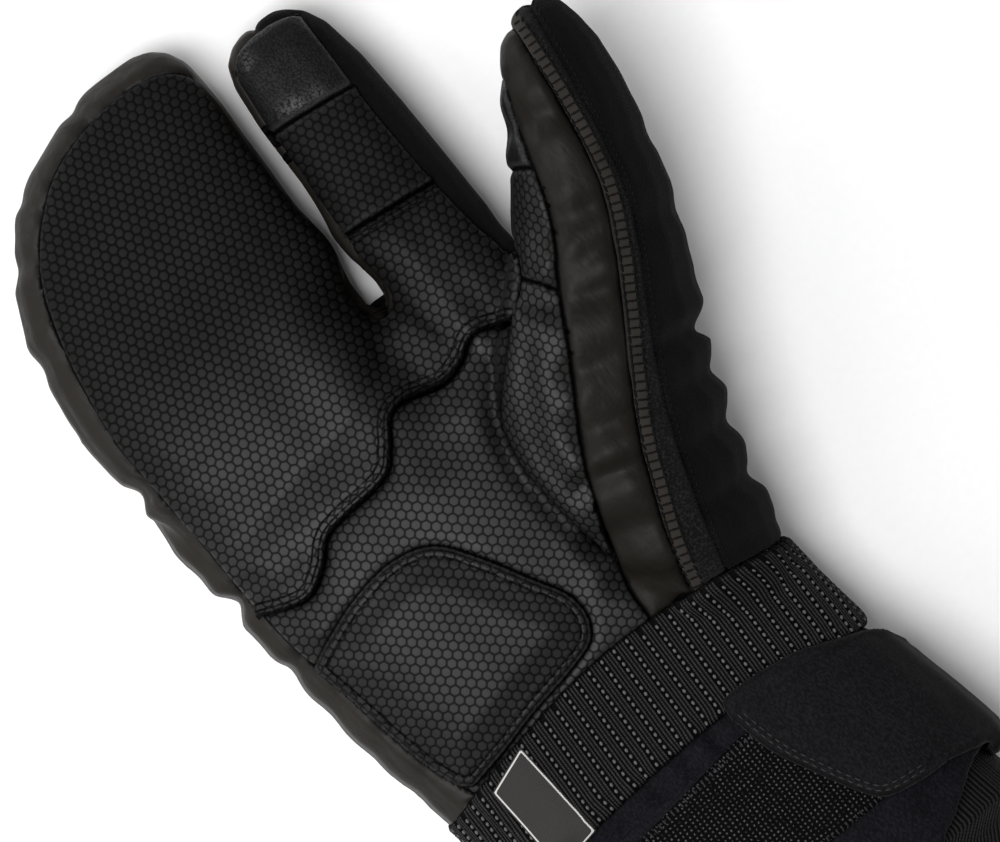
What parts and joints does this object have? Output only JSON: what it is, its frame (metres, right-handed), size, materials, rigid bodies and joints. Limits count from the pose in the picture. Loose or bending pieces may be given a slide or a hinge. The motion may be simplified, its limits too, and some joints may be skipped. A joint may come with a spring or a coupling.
{
  "type": "cycling glove",
  "caption": "Right-hand split-finger winter cycling glove: honeycomb palm, padded heel, elastic wrist, flared cuff and wrap-over closure tab, lying palm up.",
  "frame": {"origin": "centre of the bounding box on the flat surface that the back of the glove rests on", "axes": "+Z out of the palm, +Y from the cuff to the fingertips, +X to the thumb side"},
  "size_m": [0.1642, 0.292, 0.0629],
  "materials": {
    "palm_leather": "black synthetic leather embossed with rounded hexagons, soft sheen",
    "pebbled_leather": "black pebbled synthetic leather, satin",
    "taupe_laminate": "dark taupe laminated fabric, satin",
    "back_knit": "black fine-knit softshell, matte",
    "wipe_fleece": "black short-pile fleece, matte",
    "wrist_elastic": "black ribbed woven elastic",
    "softshell": "blue-black softshell, matte",
    "loop_fabric": "dark loop fabric of the touch fastener, in fine rows",
    "hem_elastic": "dark finely ribbed elastic",
    "label_weave": "dark grey woven label with a pale border, blank"
  },
  "bodies": {
    "root": {"upper_palm": "palm_leather", "lower_palm": "palm_leather", "heel_pad": "palm_leather", "index_palm": "palm_leather", "index_tip_pad": "pebbled_leather", "thumb_gusset": "palm_leather", "thumb_mid_palm": "palm_leather", "thumb_tip_pad": "pebbled_leather", "thumb_side_strip": "taupe_laminate", "thumb_wipe": "wipe_fleece", "thumb_back": "back_knit", "outer_side_wall": "taupe_laminate", "index_side_wall": "taupe_laminate", "hand_back": "back_knit", "wrist_band": "wrist_elastic", "cuff": "softshell", "hem_band": "hem_elastic", "loop_patch": "loop_fabric", "closure_tab": "softshell", "label": "label_weave"}
  },
  "joints": []
}
